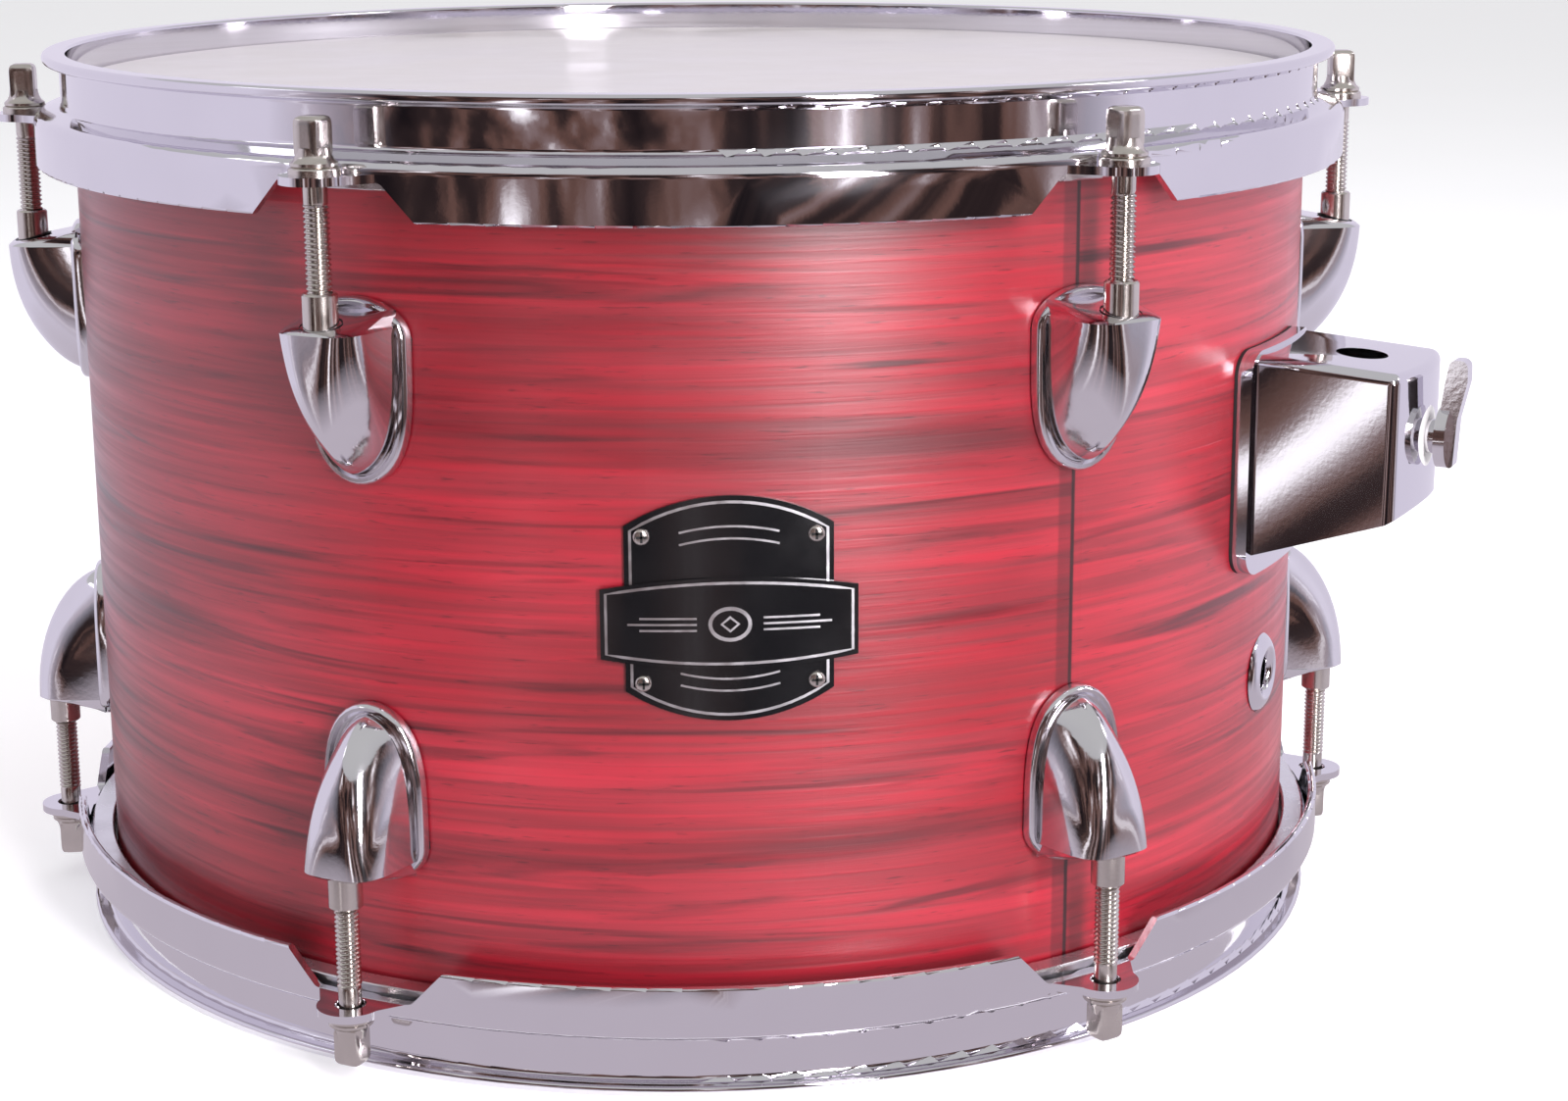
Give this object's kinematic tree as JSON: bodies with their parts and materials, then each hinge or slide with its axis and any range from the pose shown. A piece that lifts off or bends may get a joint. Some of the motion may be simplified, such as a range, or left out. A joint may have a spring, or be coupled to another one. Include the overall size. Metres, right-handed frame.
{
  "type": "tom tom drum",
  "caption": "Mounted tom drum: wrapped ply shell, flanged chrome hoops with tension rods and lugs, two heads, a badge, a vent and a clamp bracket for a tom arm.",
  "frame": {"origin": "on the drum's axis, in the plane of the bottom rim that it stands on", "axes": "+Z along the drum's axis towards the batter head, -Y towards the badge, +X to the right of the badge as seen from the front"},
  "size_m": [0.3471, 0.3236, 0.215],
  "materials": {
    "wood_ply": "sanded plies",
    "red_wrap": "satin crimson wood-grain covering",
    "badge_black": "gloss black with bright lines",
    "bright_chrome": "polished",
    "gasket_black": "matt",
    "zinc_steel": "zinc plated",
    "head_film": "coated translucent film",
    "flesh_aluminium": "satin",
    "nickel_steel": "nickel plated, turned",
    "nylon": "moulded"
  },
  "bodies": {
    "shell": {"shell_plies": "wood_ply", "shell_wrap": "red_wrap", "badge_plate": "badge_black", "badge_banner": "badge_black", "badge_screws": "bright_chrome", "vent_grommet": "bright_chrome", "vent_grommet_ring": "zinc_steel", "mount_bracket": "bright_chrome", "mount_gasket": "gasket_black", "mount_backing_plate": "zinc_steel", "mount_screws": "zinc_steel", "wing_bolt_bushing": "nickel_steel", "lug_gaskets": "gasket_black", "nut_retainers": "nylon", "lug_screws": "zinc_steel", "lug_screw_washers": "zinc_steel", "batter_swivel_nuts": "nickel_steel", "resonant_swivel_nuts": "nickel_steel", "batter_lug_1": "bright_chrome", "batter_lug_2": "bright_chrome", "batter_lug_3": "bright_chrome", "batter_lug_4": "bright_chrome", "batter_lug_5": "bright_chrome", "batter_lug_6": "bright_chrome", "resonant_lug_1": "bright_chrome", "resonant_lug_2": "bright_chrome", "resonant_lug_3": "bright_chrome", "resonant_lug_4": "bright_chrome", "resonant_lug_5": "bright_chrome", "resonant_lug_6": "bright_chrome"},
    "clamp_shoe": {"clamp_shoe": "nickel_steel"},
    "wing_bolt": {"wing_bolt": "bright_chrome"},
    "batter_hoop": {"batter_hoop": "bright_chrome", "batter_flesh_hoop": "flesh_aluminium", "batter_head_film": "head_film", "batter_rod_washers": "bright_chrome"},
    "batter_rod_1": {"batter_rod_1": "bright_chrome"},
    "batter_rod_2": {"batter_rod_2": "bright_chrome"},
    "batter_rod_3": {"batter_rod_3": "bright_chrome"},
    "batter_rod_4": {"batter_rod_4": "bright_chrome"},
    "batter_rod_5": {"batter_rod_5": "bright_chrome"},
    "batter_rod_6": {"batter_rod_6": "bright_chrome"},
    "resonant_hoop": {"resonant_hoop": "bright_chrome", "resonant_flesh_hoop": "flesh_aluminium", "resonant_head_film": "head_film", "resonant_rod_washers": "bright_chrome"},
    "resonant_rod_1": {"resonant_rod_1": "bright_chrome"},
    "resonant_rod_2": {"resonant_rod_2": "bright_chrome"},
    "resonant_rod_3": {"resonant_rod_3": "bright_chrome"},
    "resonant_rod_4": {"resonant_rod_4": "bright_chrome"},
    "resonant_rod_5": {"resonant_rod_5": "bright_chrome"},
    "resonant_rod_6": {"resonant_rod_6": "bright_chrome"}
  },
  "joints": [
    {"name": "batter_tuning", "type": "slide", "parent": "shell", "child": "batter_hoop", "axis": [0, 0, 1], "range_m": [0, 0.012]},
    {"name": "batter_rod_1_turn", "type": "hinge", "parent": "batter_hoop", "child": "batter_rod_1", "pos_m": [0.1661, 0, 0.1985], "axis": [0, 0, 1], "range_deg": [0, 4087]},
    {"name": "batter_rod_2_turn", "type": "hinge", "parent": "batter_hoop", "child": "batter_rod_2", "pos_m": [0.08305, 0.14385, 0.1985], "axis": [0, 0, 1], "range_deg": [0, 4087]},
    {"name": "batter_rod_3_turn", "type": "hinge", "parent": "batter_hoop", "child": "batter_rod_3", "pos_m": [-0.08305, 0.14385, 0.1985], "axis": [0, 0, 1], "range_deg": [0, 4087]},
    {"name": "batter_rod_4_turn", "type": "hinge", "parent": "batter_hoop", "child": "batter_rod_4", "pos_m": [-0.1661, 0, 0.1985], "axis": [0, 0, 1], "range_deg": [0, 4087]},
    {"name": "batter_rod_5_turn", "type": "hinge", "parent": "batter_hoop", "child": "batter_rod_5", "pos_m": [-0.08305, -0.14385, 0.1985], "axis": [0, 0, 1], "range_deg": [0, 4087]},
    {"name": "batter_rod_6_turn", "type": "hinge", "parent": "batter_hoop", "child": "batter_rod_6", "pos_m": [0.08305, -0.14385, 0.1985], "axis": [0, 0, 1], "range_deg": [0, 4087]},
    {"name": "resonant_tuning", "type": "slide", "parent": "shell", "child": "resonant_hoop", "axis": [0, 0, -1], "range_m": [0, 0.012]},
    {"name": "resonant_rod_1_turn", "type": "hinge", "parent": "resonant_hoop", "child": "resonant_rod_1", "pos_m": [0.1661, 0, 0.0165], "axis": [0, 0, -1], "range_deg": [0, 4087]},
    {"name": "resonant_rod_2_turn", "type": "hinge", "parent": "resonant_hoop", "child": "resonant_rod_2", "pos_m": [0.08305, 0.14385, 0.0165], "axis": [0, 0, -1], "range_deg": [0, 4087]},
    {"name": "resonant_rod_3_turn", "type": "hinge", "parent": "resonant_hoop", "child": "resonant_rod_3", "pos_m": [-0.08305, 0.14385, 0.0165], "axis": [0, 0, -1], "range_deg": [0, 4087]},
    {"name": "resonant_rod_4_turn", "type": "hinge", "parent": "resonant_hoop", "child": "resonant_rod_4", "pos_m": [-0.1661, 0, 0.0165], "axis": [0, 0, -1], "range_deg": [0, 4087]},
    {"name": "resonant_rod_5_turn", "type": "hinge", "parent": "resonant_hoop", "child": "resonant_rod_5", "pos_m": [-0.08305, -0.14385, 0.0165], "axis": [0, 0, -1], "range_deg": [0, 4087]},
    {"name": "resonant_rod_6_turn", "type": "hinge", "parent": "resonant_hoop", "child": "resonant_rod_6", "pos_m": [0.08305, -0.14385, 0.0165], "axis": [0, 0, -1], "range_deg": [0, 4087]},
    {"name": "arm_clamp", "type": "slide", "parent": "shell", "child": "clamp_shoe", "axis": [-0.866, 0.5, 0], "range_m": [0, 0.0016]},
    {"name": "wing_bolt_turn", "type": "hinge", "parent": "clamp_shoe", "child": "wing_bolt", "pos_m": [0.16454, -0.095, 0.1295], "axis": [-0.866, 0.5, 0], "range_deg": [0, 465]}
  ],
  "couplings": [
    {"joint": "batter_rod_1_turn", "follows": "batter_tuning", "rad_per_m": 5936.9},
    {"joint": "batter_rod_2_turn", "follows": "batter_tuning", "rad_per_m": 5936.9},
    {"joint": "batter_rod_3_turn", "follows": "batter_tuning", "rad_per_m": 5936.9},
    {"joint": "batter_rod_4_turn", "follows": "batter_tuning", "rad_per_m": 5936.9},
    {"joint": "batter_rod_5_turn", "follows": "batter_tuning", "rad_per_m": 5936.9},
    {"joint": "batter_rod_6_turn", "follows": "batter_tuning", "rad_per_m": 5936.9},
    {"joint": "resonant_rod_1_turn", "follows": "resonant_tuning", "rad_per_m": 5936.9},
    {"joint": "resonant_rod_2_turn", "follows": "resonant_tuning", "rad_per_m": 5936.9},
    {"joint": "resonant_rod_3_turn", "follows": "resonant_tuning", "rad_per_m": 5936.9},
    {"joint": "resonant_rod_4_turn", "follows": "resonant_tuning", "rad_per_m": 5936.9},
    {"joint": "resonant_rod_5_turn", "follows": "resonant_tuning", "rad_per_m": 5936.9},
    {"joint": "resonant_rod_6_turn", "follows": "resonant_tuning", "rad_per_m": 5936.9},
    {"joint": "wing_bolt_turn", "follows": "arm_clamp", "rad_per_m": 5026.5}
  ]
}
